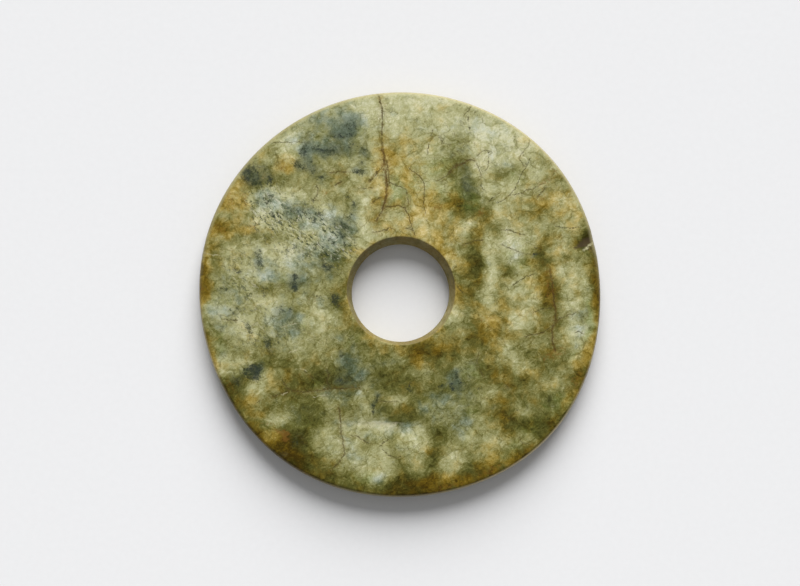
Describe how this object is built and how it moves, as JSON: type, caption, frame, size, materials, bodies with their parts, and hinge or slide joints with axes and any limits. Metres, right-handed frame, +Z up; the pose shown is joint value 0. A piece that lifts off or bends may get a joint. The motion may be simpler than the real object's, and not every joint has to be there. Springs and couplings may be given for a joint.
{
  "type": "jade bi disc",
  "caption": "Flat round disc of mottled green jade with a round hole through its middle, drilled from both faces; it lies flat on its underside.",
  "frame": {"origin": "on the underside, below the middle of the disc's outline", "axes": "+Z up through the thickness, out of the upper face; +X and +Y in the plane of the underside, +Y towards the side of the rim that the main crack reaches"},
  "size_m": [0.1982, 0.2, 0.013],
  "materials": {
    "jade": "satin"
  },
  "bodies": {
    "root": {"disc": "jade"}
  },
  "joints": []
}
